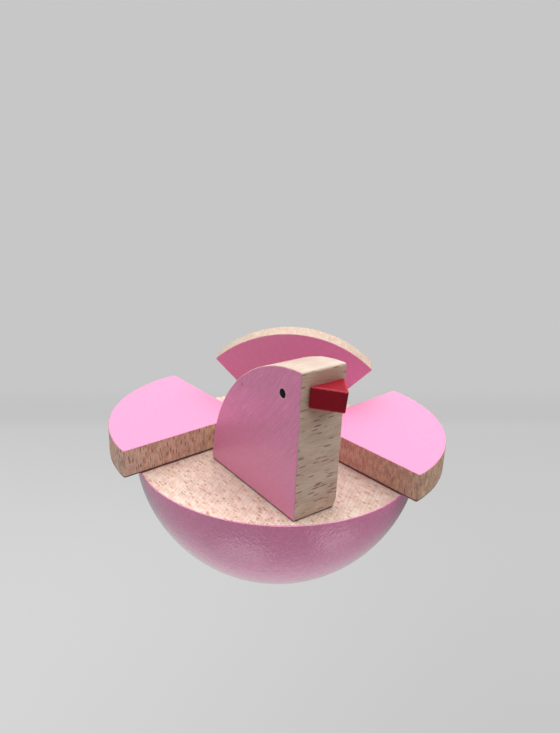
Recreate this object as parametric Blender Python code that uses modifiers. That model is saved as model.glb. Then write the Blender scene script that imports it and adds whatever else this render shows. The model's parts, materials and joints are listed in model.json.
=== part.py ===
"""Rocking bird toy of painted beech.

The body is half of a turned ball, sawn flat on top. On its deck turn four blocks, each a quarter of a thick
disc and each on its own dowel: the head with its beak and two eye pegs, the two wings, and the tail. The bird
faces -Y, its left wing is at +X, +Z is up, and the origin is the middle of the small flat that it stands on.
Lengths are in metres and angles in degrees.
"""

import math

import bmesh
import bpy
from mathutils import Matrix

# Body: the ball, the saw cut that makes the deck, and the flat underneath
BALL_RADIUS = 0.045
DECK_BELOW_MIDDLE = 0.0033
STAND_RADIUS = 0.004
RIM_ROUND = 0.0004

# Clearances
SEAT_GAP = 0.0003
DOWEL_FIT = 0.0002
BORE_END_ROOM = 0.0005
DOWEL_CHAMFER = 0.0005

# Finish of the sawn blocks
EDGE_ROUND = 0.0005
TIP_ROUND = 0.0014

# Head: a quarter disc on edge, its upright face to the front
HEAD_RADIUS = 0.0417
HEAD_SAW_LOSS = 0.0003
HEAD_THICKNESS = 0.0145
HEAD_CORNER_CUT = 0.0005
HEAD_FRONT_MARGIN = 0.002
HEAD_OFF_CENTRE = 0.0005
HEAD_TURN = 42.5
HEAD_DOWEL_RADIUS = 0.004
HEAD_DOWEL_RISE = 0.012

# Beak: a three-sided prism, its tip sanded back a little underneath
BEAK_WIDTH = 0.0114
BEAK_LENGTH = 0.008
BEAK_HEIGHT = 0.0058
BEAK_UNDERCUT = 0.0007
BEAK_BELOW_TOP = 0.0038
BEAK_OFF_CENTRE = 0.0008
BEAK_EDGE_ROUND = 0.0003
BEAK_PEG_RADIUS = 0.0015
BEAK_PEG_IN_BEAK = 0.0035
BEAK_PEG_IN_HEAD = 0.006

# Eyes: pegs pressed into the two cheeks
EYE_RADIUS = 0.00125
EYE_BELOW_TOP = 0.0078
EYE_BEHIND_FRONT = 0.0072
EYE_DEPTH = 0.0035

# Wings: quarter discs lying flat, their sawn corner towards the middle
WING_RADIUS = 0.0447
WING_SAW_LOSS = 0.0013
WING_THICKNESS = 0.0086
WING_CORNER_CUT = 0.0008
WING_DOWEL_OUT = 0.0237
WING_CORNER_TO_DOWEL = 0.0132
WINGS_OFF_CENTRE = -0.0008
WING_HEAD_ROOM = 0.0029
LEFT_WING_TURN = 3.2
RIGHT_WING_TURN = 1.8
WING_DOWEL_RADIUS = 0.003
WING_OVER_DOWEL = 0.003

# Tail: a quarter disc standing across the deck on its cut-off corner
TAIL_RADIUS = 0.0395
TAIL_SAW_LOSS = 0.0013
TAIL_THICKNESS = 0.0089
TAIL_FOOT_WIDTH = 0.0121
TAIL_WING_ROOM = 0.0078
TAIL_OFF_CENTRE = 0.0023
TAIL_DOWEL_RADIUS = 0.0025
TAIL_DOWEL_RISE = 0.012

# Bores in the deck
DECK_BORE_DEPTH = 0.0125

# Number of flats in the round shapes
BALL_STEPS = 96
BALL_RINGS = 20
DISC_STEPS = 30
TIP_STEPS = 5
DOWEL_STEPS = 28
ROUNDING_STEPS = 2

# Angles above which an edge is rounded, shading breaks or flats stay apart, and the distance that joins
# points
EDGE_ANGLE = 40
SMOOTH_ANGLE = 35
FLAT_ANGLE = 0.5
WELD = 0.000001

# Places that follow from the sizes above, with heights counted from the deck
HALF_DIAGONAL = math.sqrt(0.5)
BALL_MIDDLE = math.sqrt(BALL_RADIUS**2 - STAND_RADIUS**2)
DECK_HEIGHT = BALL_MIDDLE - DECK_BELOW_MIDDLE
RIM_RADIUS = math.sqrt(BALL_RADIUS**2 - DECK_BELOW_MIDDLE**2)
HEAD_LENGTH = HEAD_RADIUS - HEAD_SAW_LOSS
HEAD_TOP = SEAT_GAP + HEAD_LENGTH
HEAD_DOWEL_BACK = HEAD_LENGTH / 2
HEAD_SWING = math.hypot(HEAD_DOWEL_BACK, HEAD_THICKNESS / 2)
HEAD_Y = -(RIM_RADIUS - HEAD_FRONT_MARGIN - HEAD_DOWEL_BACK)
WING_CORNER_OUT = WING_DOWEL_OUT - WING_CORNER_TO_DOWEL
WING_Y = HEAD_Y + (HEAD_SWING + WING_HEAD_ROOM) / HALF_DIAGONAL - WING_CORNER_OUT
TAIL_SWING_AT_WINGS = math.hypot(TAIL_FOOT_WIDTH / 2 + WING_THICKNESS, TAIL_THICKNESS / 2)
TAIL_Y = WING_Y + (TAIL_SWING_AT_WINGS + TAIL_WING_ROOM) / HALF_DIAGONAL - WING_CORNER_OUT


def clear_scene():
    for obj in list(bpy.data.objects):
        bpy.data.objects.remove(obj)


def new_collection(name):
    collection = bpy.data.collections.new(name)
    bpy.context.scene.collection.children.link(collection)
    return collection


def painted(name, red, green, blue, roughness):
    """A Principled material from a colour as it shows on a screen, each channel 0 to 255."""
    material = bpy.data.materials.new(name)
    material.use_nodes = True
    shader = material.node_tree.nodes["Principled BSDF"]
    linear = [(channel / 255) ** 2.2 for channel in (red, green, blue)]
    shader.inputs["Base Color"].default_value = (*linear, 1)
    shader.inputs["Roughness"].default_value = roughness
    shader.inputs["Metallic"].default_value = 0
    return material


def add_object(name, mesh, collection, material=None, parent=None):
    obj = bpy.data.objects.new(name, mesh)
    collection.objects.link(obj)
    obj.parent = parent
    if material:
        mesh.materials.append(material)
    return obj


def add_pivot(name, x, y, turn):
    """An empty on the deck, on the axis that a block turns about."""
    pivot = bpy.data.objects.new(name, None)
    PARTS.objects.link(pivot)
    pivot.location = (x, y, DECK_HEIGHT)
    pivot.rotation_euler.z = math.radians(turn)
    return pivot


def round_edges(obj, width, segments=ROUNDING_STEPS):
    bevel = obj.modifiers.new("round_edges", "BEVEL")
    bevel.width = width
    bevel.segments = segments
    bevel.limit_method = "ANGLE"
    bevel.angle_limit = math.radians(EDGE_ANGLE)


def shade_round(obj):
    obj.data.shade_smooth()
    obj.data.set_sharp_from_angle(angle=math.radians(SMOOTH_ANGLE))


def cut(obj, cutter):
    boolean = obj.modifiers.new(cutter.name, "BOOLEAN")
    boolean.operation = "DIFFERENCE"
    boolean.object = cutter


def cylinder_mesh(name, radius, start, end, axis="Z"):
    """A cylinder along one axis of its own frame, from start to end on that axis."""
    mesh = bpy.data.meshes.new(name)
    shape = bmesh.new()
    bmesh.ops.create_cone(
        shape, cap_ends=True, segments=DOWEL_STEPS, radius1=radius, radius2=radius, depth=end - start
    )
    shape.to_mesh(mesh)
    shape.free()
    mesh.transform(Matrix.Translation((0, 0, (start + end) / 2)))
    turns = {"X": Matrix.Rotation(math.radians(90), 4, "Y"), "Y": Matrix.Rotation(math.radians(-90), 4, "X")}
    mesh.transform(turns.get(axis, Matrix.Identity(4)))
    return mesh


def add_cutter(name, mesh, place, parent):
    cutter = add_object(name, mesh, CUTTERS, parent=parent)
    cutter.location = place
    cutter.hide_render = True
    cutter.display_type = "WIRE"
    return cutter


def add_dowel(name, radius, start, end, material, parent, axis="Z", place=(0, 0, 0)):
    dowel = add_object(name, cylinder_mesh(name, radius, start, end, axis), PARTS, material, parent)
    dowel.location = place
    shade_round(dowel)
    round_edges(dowel, min(DOWEL_CHAMFER, radius / 3), 1)
    return dowel


def quarter_outline(radius, saw_loss, corner_cut):
    """Outline of a quarter of a disc, its corner at the origin and its straight edges along +X and +Y.

    The saw takes saw_loss off each straight edge, so the arc's centre lies that far outside both. The corner
    is cut off straight, corner_cut along each edge. Each tip is rounded by an arc that touches edge and disc.
    """
    tip_along = math.sqrt((radius - TIP_ROUND) ** 2 - (TIP_ROUND + saw_loss) ** 2) - saw_loss
    tip_angle = math.atan2(TIP_ROUND + saw_loss, tip_along + saw_loss)
    tip = []
    for step in range(TIP_STEPS):
        angle = -math.pi / 2 + (tip_angle + math.pi / 2) * step / TIP_STEPS
        tip.append((tip_along + TIP_ROUND * math.cos(angle), TIP_ROUND + TIP_ROUND * math.sin(angle)))
    arc = []
    for step in range(DISC_STEPS + 1):
        angle = tip_angle + (math.pi / 2 - 2 * tip_angle) * step / DISC_STEPS
        arc.append((radius * math.cos(angle) - saw_loss, radius * math.sin(angle) - saw_loss))
    far_tip = [(y, x) for x, y in reversed(tip)]
    return [(corner_cut, 0), *tip, *arc, *far_tip, (0, corner_cut)]


def slab_mesh(name, outline, thickness):
    """A flat slab of this outline, in the XY plane and half its thickness above and below it."""
    curve = bpy.data.curves.new(name, "CURVE")
    curve.dimensions = "2D"
    curve.fill_mode = "BOTH"
    curve.extrude = thickness / 2
    spline = curve.splines.new("POLY")
    spline.points.add(len(outline) - 1)
    for point, (x, y) in zip(spline.points, outline):
        point.co = (x, y, 0, 1)
    spline.use_cyclic_u = True
    drawn = bpy.data.objects.new(name, curve)
    PARTS.objects.link(drawn)
    graph = bpy.context.evaluated_depsgraph_get()
    mesh = bpy.data.meshes.new_from_object(drawn.evaluated_get(graph))
    bpy.data.objects.remove(drawn)
    bpy.data.curves.remove(curve)
    shape = bmesh.new()
    shape.from_mesh(mesh)
    bmesh.ops.remove_doubles(shape, verts=shape.verts, dist=WELD)
    flat = math.radians(FLAT_ANGLE)
    bmesh.ops.dissolve_limit(shape, angle_limit=flat, verts=shape.verts, edges=shape.edges)
    bmesh.ops.recalc_face_normals(shape, faces=shape.faces)
    shape.to_mesh(mesh)
    shape.free()
    mesh.name = name
    return mesh


def add_body():
    """The half ball: a profile from the middle of the deck over the rim down to the stand, turned about Z."""
    rim_angle = math.asin(DECK_BELOW_MIDDLE / BALL_RADIUS)
    stand_angle = math.acos(STAND_RADIUS / BALL_RADIUS)
    profile = [(0, 0, DECK_HEIGHT)]
    for step in range(BALL_RINGS + 1):
        angle = rim_angle + (stand_angle - rim_angle) * step / BALL_RINGS
        profile.append((BALL_RADIUS * math.cos(angle), 0, BALL_MIDDLE - BALL_RADIUS * math.sin(angle)))
    profile.append((0, 0, 0))
    mesh = bpy.data.meshes.new("body")
    mesh.from_pydata(profile, [(i, i + 1) for i in range(len(profile) - 1)], [])
    body = add_object("body", mesh, PARTS, PINK)
    screw = body.modifiers.new("turned", "SCREW")
    screw.steps = BALL_STEPS
    screw.render_steps = BALL_STEPS
    screw.use_merge_vertices = True
    screw.merge_threshold = WELD
    screw.use_smooth_shade = True
    round_edges(body, RIM_ROUND)
    return body


def add_deck_bore(body, name, radius, pivot):
    """The bore that a dowel turns in. It starts above the deck so that it cuts clean through the surface."""
    mesh = cylinder_mesh(name, radius + DOWEL_FIT, -DECK_BORE_DEPTH, SEAT_GAP * 2)
    cut(body, add_cutter(name, mesh, (0, 0, 0), pivot))


def add_pivot_dowel(name, radius, rise, block, pivot):
    """A dowel glued into the underside of a block, rise deep, and standing down into its bore in the deck."""
    socket_top = SEAT_GAP + rise
    mesh = cylinder_mesh(name + "_socket", radius + DOWEL_FIT, -SEAT_GAP, socket_top)
    cut(block, add_cutter(name + "_socket", mesh, (0, 0, 0), pivot))
    add_dowel(name, radius, BORE_END_ROOM - DECK_BORE_DEPTH, socket_top - BORE_END_ROOM, BEECH, pivot)


def add_head(pivot):
    outline = quarter_outline(HEAD_RADIUS, HEAD_SAW_LOSS, HEAD_CORNER_CUT)
    mesh = slab_mesh("head_block", outline, HEAD_THICKNESS)
    upright = Matrix(((0, 0, 1, 0), (1, 0, 0, -HEAD_DOWEL_BACK), (0, 1, 0, SEAT_GAP), (0, 0, 0, 1)))
    mesh.transform(upright)
    head = add_object("head_block", mesh, PARTS, PINK, pivot)
    shade_round(head)
    round_edges(head, EDGE_ROUND)
    return head


def add_beak(head, pivot):
    """The beak, glued to the front face and held by a short peg."""
    outline = [(-BEAK_WIDTH / 2, 0), (0, -BEAK_LENGTH), (BEAK_WIDTH / 2, 0)]
    mesh = slab_mesh("beak", outline, BEAK_HEIGHT)
    for vertex in mesh.vertices:
        if vertex.co.z < 0 and vertex.co.y < -BEAK_LENGTH / 2:
            vertex.co.y += BEAK_UNDERCUT
    face_y = -HEAD_DOWEL_BACK
    middle_height = HEAD_TOP - BEAK_BELOW_TOP - BEAK_HEIGHT / 2
    beak = add_object("beak", mesh, PARTS, RED, pivot)
    beak.location = (BEAK_OFF_CENTRE, face_y - SEAT_GAP, middle_height)
    round_edges(beak, BEAK_EDGE_ROUND)
    place = (BEAK_OFF_CENTRE, face_y, middle_height)
    front, back = -SEAT_GAP - BEAK_PEG_IN_BEAK, BEAK_PEG_IN_HEAD
    hole = cylinder_mesh("beak_peg_hole", BEAK_PEG_RADIUS + DOWEL_FIT, front, back, "Y")
    hole_cutter = add_cutter("beak_peg_hole", hole, place, pivot)
    cut(beak, hole_cutter)
    cut(head, hole_cutter)
    add_dowel(
        "beak_peg", BEAK_PEG_RADIUS, front + BORE_END_ROOM, back - BORE_END_ROOM, BEECH, pivot, "Y", place
    )


def add_eye(name, side, head, pivot):
    """A black peg in the left (side 1) or right (side -1) cheek, flush with it."""
    place = (0, EYE_BEHIND_FRONT - HEAD_DOWEL_BACK, HEAD_TOP - EYE_BELOW_TOP)
    cheek = HEAD_THICKNESS / 2
    inner = cheek - EYE_DEPTH
    ends = sorted((side * inner, side * (cheek + SEAT_GAP)))
    hole = cylinder_mesh(name + "_hole", EYE_RADIUS + DOWEL_FIT, *ends, "X")
    cut(head, add_cutter(name + "_hole", hole, place, pivot))
    ends = sorted((side * (inner + SEAT_GAP), side * cheek))
    add_dowel(name, EYE_RADIUS, *ends, BLACK, pivot, "X", place)


def add_wing(name, pivot):
    outline = quarter_outline(WING_RADIUS, WING_SAW_LOSS, WING_CORNER_CUT)
    mesh = slab_mesh(name, outline, WING_THICKNESS)
    mesh.transform(Matrix.Rotation(math.radians(-45), 4, "Z"))
    mesh.transform(Matrix.Translation((-WING_CORNER_TO_DOWEL, 0, SEAT_GAP + WING_THICKNESS / 2)))
    wing = add_object(name, mesh, PARTS, PINK, pivot)
    shade_round(wing)
    round_edges(wing, EDGE_ROUND)
    return wing


def add_tail(pivot):
    """The cut-off corner is the foot, so the cut along each edge is the side of a square on half the foot."""
    outline = quarter_outline(TAIL_RADIUS, TAIL_SAW_LOSS, TAIL_FOOT_WIDTH * HALF_DIAGONAL)
    mesh = slab_mesh("tail", outline, TAIL_THICKNESS)
    mesh.transform(Matrix.Rotation(math.radians(45), 4, "Z"))
    mesh.transform(Matrix.Rotation(math.radians(90), 4, "X"))
    mesh.transform(Matrix.Translation((0, 0, SEAT_GAP - TAIL_FOOT_WIDTH / 2)))
    tail = add_object("tail", mesh, PARTS, PINK, pivot)
    shade_round(tail)
    round_edges(tail, EDGE_ROUND)
    return tail


clear_scene()
PARTS = new_collection("rocking_bird")
CUTTERS = new_collection("cutters")
PINK = painted("pink_paint", 222, 140, 178, 0.35)
BEECH = painted("bare_beech", 222, 190, 160, 0.6)
RED = painted("red_paint", 178, 34, 46, 0.35)
BLACK = painted("black_stain", 24, 18, 20, 0.4)

half_ball = add_body()

head_pivot = add_pivot("head_pivot", HEAD_OFF_CENTRE, HEAD_Y, HEAD_TURN)
head_block = add_head(head_pivot)
add_beak(head_block, head_pivot)
add_eye("left_eye", 1, head_block, head_pivot)
add_eye("right_eye", -1, head_block, head_pivot)
add_pivot_dowel("head_dowel", HEAD_DOWEL_RADIUS, HEAD_DOWEL_RISE, head_block, head_pivot)
add_deck_bore(half_ball, "head_bore", HEAD_DOWEL_RADIUS, head_pivot)

for side_name, side, rest_turn in (("left", 1, LEFT_WING_TURN), ("right", -1, 180 + RIGHT_WING_TURN)):
    wing_pivot = add_pivot(
        side_name + "_wing_pivot", side * WING_DOWEL_OUT + WINGS_OFF_CENTRE, WING_Y, rest_turn
    )
    wing_slab = add_wing(side_name + "_wing", wing_pivot)
    add_pivot_dowel(
        side_name + "_wing_dowel", WING_DOWEL_RADIUS, WING_THICKNESS - WING_OVER_DOWEL, wing_slab, wing_pivot
    )
    add_deck_bore(half_ball, side_name + "_wing_bore", WING_DOWEL_RADIUS, wing_pivot)

tail_pivot = add_pivot("tail_pivot", TAIL_OFF_CENTRE, TAIL_Y, 0)
tail_slab = add_tail(tail_pivot)
add_pivot_dowel("tail_dowel", TAIL_DOWEL_RADIUS, TAIL_DOWEL_RISE, tail_slab, tail_pivot)
add_deck_bore(half_ball, "tail_bore", TAIL_DOWEL_RADIUS, tail_pivot)
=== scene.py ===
"""Rocking bird toy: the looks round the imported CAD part. Lengths are in metres and angles in degrees."""

import json
import math

import bmesh
import bpy
import numpy as np
from mathutils import Matrix, Vector


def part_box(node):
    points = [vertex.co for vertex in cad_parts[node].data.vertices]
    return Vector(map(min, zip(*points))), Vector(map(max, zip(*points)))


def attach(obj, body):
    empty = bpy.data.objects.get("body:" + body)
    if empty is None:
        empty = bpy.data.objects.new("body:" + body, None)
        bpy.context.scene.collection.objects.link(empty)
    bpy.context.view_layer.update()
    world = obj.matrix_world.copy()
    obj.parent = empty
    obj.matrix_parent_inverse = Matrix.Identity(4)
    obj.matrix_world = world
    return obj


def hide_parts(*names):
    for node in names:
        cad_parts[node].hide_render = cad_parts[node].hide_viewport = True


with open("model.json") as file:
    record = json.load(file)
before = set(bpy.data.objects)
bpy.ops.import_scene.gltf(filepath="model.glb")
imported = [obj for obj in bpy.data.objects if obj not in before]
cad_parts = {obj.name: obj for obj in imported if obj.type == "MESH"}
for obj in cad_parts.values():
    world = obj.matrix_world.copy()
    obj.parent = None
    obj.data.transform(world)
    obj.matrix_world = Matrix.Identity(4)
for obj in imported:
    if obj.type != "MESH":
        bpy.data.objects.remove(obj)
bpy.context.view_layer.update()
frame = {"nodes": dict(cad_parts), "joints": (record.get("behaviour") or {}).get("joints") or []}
nodes = frame["nodes"]
pivots = {joint["child"]: joint["pos_m"] for joint in frame["joints"]}


# Half ball
# The body is half of a solid beech ball, turned on a lathe, sawn flat on top for a deck and sanded to a
# small flat underneath. The round side is sprayed pink, the deck is left bare, and four bores take dowels.
MM = 0.001
BALL_RADIUS = 45 * MM
STAND_RADIUS = 4 * MM
RIM_ROUND = 0.25 * MM
RIM_PAINT_LIP = 0.05
BALL_AROUND = 360
BALL_UP = 110
DECK_RINGS = 30
DOWEL_FIT = 0.2 * MM
BORE_ROOM = 0.5 * MM
BORE_PAST_DECK = 1 * MM
BORE_STEPS = 48
RIM_STEPS = 9
RIM_RING = 0.1 * MM
DECK_CROWDING = 1.3
SANDING_WAVER = 0.02 * MM
BARE = -1.0
JOIN_DISTANCE = 0.0002 * MM
SHARP_ANGLE = 38

PINK = (0.76, 0.235, 0.43)
PINK_SPREAD = 0.035
THIN_PINK = (0.80, 0.55, 0.50)
# Painted shade of the gap under each block: a dark maroon line along its lowest edge.
GAP_SHADE = (0.10, 0.008, 0.012)
SAW_MARKS = (((0.97, -0.25, 0), 1.1 * MM, 0.12, 70), ((0.64, 0.77, 0), 0.85 * MM, 0.07, 75))
BALL_GRAIN = ((-0.04, 0.611, 0.791), (0.70, 0.582, -0.414), (0.713, -0.537, 0.451))


def surface(name, rings, start, end, paint):
    """A closed mesh from an array of rings, each a closed loop of points counterclockwise about the way from
    start to end. Quads join ring to ring, and fans close the first ring to start and the last to end.
    paint holds how far each point lies inside the paint's edge, in millimetres, negative on bare wood."""
    count, around = rings.shape[:2]
    paint = np.broadcast_to(np.asarray(paint, float).reshape(count, -1), (count, around))
    points = np.concatenate([[start], rings.reshape(-1, 3), [end]])
    here = 1 + np.arange(count * around).reshape(count, around)
    beside = np.roll(here, -1, axis=1)
    quads = np.stack([here[:-1], beside[:-1], beside[1:], here[1:]], axis=-1).reshape(-1, 4)
    first = np.stack([np.zeros_like(here[0]), beside[0], here[0]], axis=-1)
    last = np.stack([np.full_like(here[0], len(points) - 1), here[-1], beside[-1]], axis=-1)
    mesh = bpy.data.meshes.new(name)
    mesh.from_pydata(points.tolist(), [], [*quads.tolist(), *first.tolist(), *last.tolist()])
    field = mesh.attributes.new("paint", "FLOAT", "POINT")
    field.data.foreach_set("value", np.concatenate([[paint[0].mean()], paint.ravel(), [paint[-1].mean()]]))
    piece = bpy.data.objects.new(name, mesh)
    bpy.context.scene.collection.objects.link(piece)
    join_points(piece)
    soften(piece)
    return piece


def placed(points, place):
    """Points turned and moved by a matrix."""
    return np.asarray(points) @ np.array(place.to_3x3()).T + np.array(place.translation)


def join_points(piece):
    """Makes one point of those that meet."""
    joined = bmesh.new()
    joined.from_mesh(piece.data)
    bmesh.ops.remove_doubles(joined, verts=joined.verts, dist=JOIN_DISTANCE)
    joined.to_mesh(piece.data)
    joined.free()


def soften(piece):
    """Smooth shading that breaks only at edges too steep to be a rounding."""
    piece.data.shade_smooth()
    piece.data.set_sharp_from_angle(angle=math.radians(SHARP_ANGLE))


def drill(piece, start, end, radius):
    """Bores a round hole from start to end: a circle carried along the straight line between them."""
    start, end = np.asarray(start, float), np.asarray(end, float)
    along = (end - start) / np.linalg.norm(end - start)
    across = np.cross(along, (0.0, 0.0, 1.0) if abs(along[2]) < 0.9 else (1.0, 0.0, 0.0))
    across /= np.linalg.norm(across)
    turn = np.linspace(0, 2 * np.pi, BORE_STEPS, endpoint=False)[:, None]
    circle = radius * (np.cos(turn) * across + np.sin(turn) * np.cross(along, across))
    bit = surface("bit", np.stack([start + circle, end + circle]), start, end, [BARE, BARE])
    hole = piece.modifiers.new("hole", "BOOLEAN")
    hole.operation = "DIFFERENCE"
    hole.solver = "EXACT"
    hole.object = bit
    graph = bpy.context.evaluated_depsgraph_get()
    cut = piece.evaluated_get(graph)
    bored = bpy.data.meshes.new_from_object(cut, preserve_all_data_layers=True, depsgraph=graph)
    piece.modifiers.clear()
    old, piece.data = piece.data, bored
    bpy.data.meshes.remove(old)
    bpy.data.meshes.remove(bit.data)
    bored.name = piece.name
    join_points(piece)
    soften(piece)


def drill_for_dowel(piece, dowel, low, high):
    """Bores an upright hole round a CAD dowel, wider by the fit, between two heights."""
    corner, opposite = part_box(dowel)
    x, y = (corner.x + opposite.x) / 2, (corner.y + opposite.y) / 2
    radius = (opposite.x - corner.x) / 2 + DOWEL_FIT
    drill(piece, (x, y, low), (x, y, high), radius)


def ball_rings():
    """The half ball's profile, turned about the upright axis. From the stand's edge the radius and height
    follow the circle of the ball up to the rim, then a small arc that touches both ball and deck, then the
    deck inwards. The radius wavers by a few hundredths of a millimetre, as sanding leaves it."""
    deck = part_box("body")[1].z
    middle = math.sqrt(BALL_RADIUS**2 - STAND_RADIUS**2)
    bend_height = deck - RIM_ROUND
    bend_radius = math.sqrt((BALL_RADIUS - RIM_ROUND) ** 2 - (middle - bend_height) ** 2)
    rim_angle = math.atan2(bend_height - middle, bend_radius)
    stand_angle = -math.acos(STAND_RADIUS / BALL_RADIUS)
    rise = np.linspace(stand_angle, rim_angle, BALL_UP)
    bend = np.linspace(rim_angle, np.pi / 2, RIM_STEPS)[1:]
    inwards = 1 - np.linspace(0, 1, DECK_RINGS + 1)[1:-1] ** DECK_CROWDING
    inwards = np.concatenate([[1 - RIM_RING / bend_radius], inwards])
    round_side = BALL_RADIUS * np.cos(rise), middle + BALL_RADIUS * np.sin(rise)
    rim = bend_radius + RIM_ROUND * np.cos(bend), bend_height + RIM_ROUND * np.sin(bend)
    radius = np.concatenate([[STAND_RADIUS / 2], round_side[0], rim[0], bend_radius * inwards])
    height = np.concatenate([[0.0], round_side[1], rim[1], np.full(len(inwards), deck)])
    steps = np.hypot(np.diff(radius), np.diff(height))
    travelled = np.concatenate([[0.0], np.cumsum(steps)])
    rim_end = travelled[BALL_UP + len(bend)]
    paint = (rim_end - travelled) / MM + RIM_PAINT_LIP
    turn = np.linspace(0, 2 * np.pi, BALL_AROUND, endpoint=False)
    waver = np.sin(3 * turn + 1) + 0.6 * np.sin(7 * turn + 2) + 0.5 * np.sin(16 * turn + 0.5)
    reach = radius[:, None] + SANDING_WAVER * waver * (radius / BALL_RADIUS)[:, None] ** 4
    level = np.broadcast_to(height[:, None], reach.shape)
    rings = np.stack([reach * np.cos(turn), reach * np.sin(turn), level], axis=-1)
    return rings, paint, deck


def add(tree, kind, inputs=None, **settings):
    """One shader node. Each input is a socket to link or a value to set on the node's own socket."""
    made = tree.nodes.new("ShaderNode" + kind)
    for name, value in settings.items():
        setattr(made, name, value)
    for key, value in (inputs or {}).items():
        if isinstance(value, bpy.types.NodeSocket):
            tree.links.new(value, made.inputs[key])
        else:
            made.inputs[key].default_value = value
    return made


def reckon(tree, operation, first, second=0.0, third=0.0):
    """The result of one Math node."""
    return add(tree, "Math", {0: first, 1: second, 2: third}, operation=operation).outputs[0]


def ramp(tree, value, low, high, start=0.0, end=1.0):
    """A smooth step: start below low, end above high."""
    inputs = {"Value": value, "From Min": low, "From Max": high, "To Min": start, "To Max": end}
    return add(tree, "MapRange", inputs, interpolation_type="SMOOTHSTEP").outputs["Result"]


def tint(tree, share, colour, other, how="MIX"):
    """colour turned into other by share, both as sockets or as linear red, green and blue."""
    colour, other = (c if isinstance(c, bpy.types.NodeSocket) else (*c, 1.0) for c in (colour, other))
    inputs = {0: share, 6: colour, 7: other}
    return add(tree, "Mix", inputs, data_type="RGBA", blend_type=how, clamp_factor=True).outputs[2]


def spot(tree):
    """The place on the piece, in its own Object coordinates."""
    return add(tree, "TexCoord").outputs["Object"]


def paint_depth(tree):
    """How far the place lies inside the paint's edge, in millimetres, from the piece's own attribute."""
    return add(tree, "Attribute", attribute_name="paint").outputs["Fac"]


def facing_up(tree, start, end):
    """start on faces that stand upright or look down, end on those that look up."""
    normal = add(tree, "TexCoord").outputs["Normal"]
    return ramp(tree, add(tree, "SeparateXYZ", {0: normal}).outputs[2], 0.3, 0.8, start, end)


def bumped(tree, height, relief):
    """The normal of a surface that a height of one raises by relief, in metres."""
    return add(tree, "Bump", {"Height": height, "Strength": 1.0, "Distance": relief}).outputs[0]


def blank_material(name):
    """A new material, its node tree and its shader."""
    material = bpy.data.materials.new(name)
    material.use_nodes = True
    return material, material.node_tree, material.node_tree.nodes["Principled BSDF"]


def in_cells(tree, place, size, shift):
    """place counted in cells of size along its three axes, in millimetres, and moved on by shift."""
    cells = [1 / (MM * s) for s in size]
    scaled = add(tree, "VectorMath", {0: place, 1: cells}, operation="MULTIPLY").outputs[0]
    on = (shift, shift * 1.7, shift * 0.6)
    return add(tree, "VectorMath", {0: scaled, 1: on}, operation="ADD").outputs[0]


def speckle(tree, place, size, detail=0.0, shift=0.0):
    """Noise whose grains measure size along the three axes of place, in millimetres."""
    inputs = {"Vector": in_cells(tree, place, size, shift), "Scale": 1.0, "Detail": detail, "Roughness": 0.55}
    return add(tree, "TexNoise", inputs, noise_dimensions="3D").outputs[0]


def lenses(tree, place, size, shift):
    """Distance from the middle of the nearest lens, in cells of size along the three axes of place, in
    millimetres: a Voronoi pattern of scattered points, drawn out along the cells."""
    inputs = {"Vector": in_cells(tree, place, size, shift), "Scale": 1.0}
    return add(tree, "TexVoronoi", inputs).outputs["Distance"]


def frame_of(tree, axes):
    """Object coordinates turned into the frame whose three directions are the rows of axes. The third is
    turned round where the three are left-handed, because a Mapping node can't mirror."""
    axes = Matrix(axes)
    if axes.determinant() < 0:
        axes[2] = -axes[2]
    inputs = {"Vector": spot(tree), "Rotation": axes.to_euler()}
    return add(tree, "Mapping", inputs, vector_type="POINT").outputs[0]


def shaded(tree, colour, amount, strength):
    """colour times one plus strength times how far amount lies above a half."""
    shade = reckon(tree, "MULTIPLY_ADD", amount, strength, 1 - strength / 2)
    grey = add(tree, "CombineColor", {0: shade, 1: shade, 2: shade}).outputs[0]
    return tint(tree, 1.0, colour, grey, "MULTIPLY")


def beech(
    tree, grain, shift, pale, warm, fleck, fleck_reach, fleck_size, streak,
    fibre=(7, 0.35, 2.5), cloud=(9, 3.5, 5), pores=0.0, top=1.0,
):
    """Colour and height of bare beech. grain holds the directions along the fibres, along the growth rings
    and out from the pith. Clouds of warm and pale wood, fine streaks along the fibres, open pores, and the
    rays cut across, which show as short dark lens-shaped flecks. Faces that look up have top as much of
    them."""
    place = frame_of(tree, grain)
    plain = facing_up(tree, 1.0, top)
    clouds = ramp(tree, speckle(tree, place, cloud, 3, shift), 0.38, 0.62)
    colour = tint(tree, clouds, pale, warm)
    lines = speckle(tree, place, fibre, 2, shift + 3)
    colour = shaded(tree, colour, lines, streak)
    dots = ramp(tree, speckle(tree, place, (0.45, 0.3, 0.3), 1, shift + 21), 0.62, 0.72)
    open_pores = reckon(tree, "MULTIPLY", dots, reckon(tree, "MULTIPLY", plain, pores))
    colour = tint(tree, open_pores, colour, fleck)
    crowd = speckle(tree, place, (4, 3, 4), 1, shift + 5)
    reach = reckon(tree, "MULTIPLY_ADD", crowd, 0.3, fleck_reach - 0.15)
    inside = reckon(tree, "SUBTRACT", reach, lenses(tree, place, fleck_size, shift + 8))
    rays = reckon(tree, "MULTIPLY", ramp(tree, inside, -0.03, 0.05), plain)
    colour = tint(tree, rays, colour, fleck)
    height = reckon(tree, "MULTIPLY_ADD", rays, -1.0, reckon(tree, "MULTIPLY", lines, 1.5))
    return colour, height, place


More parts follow.
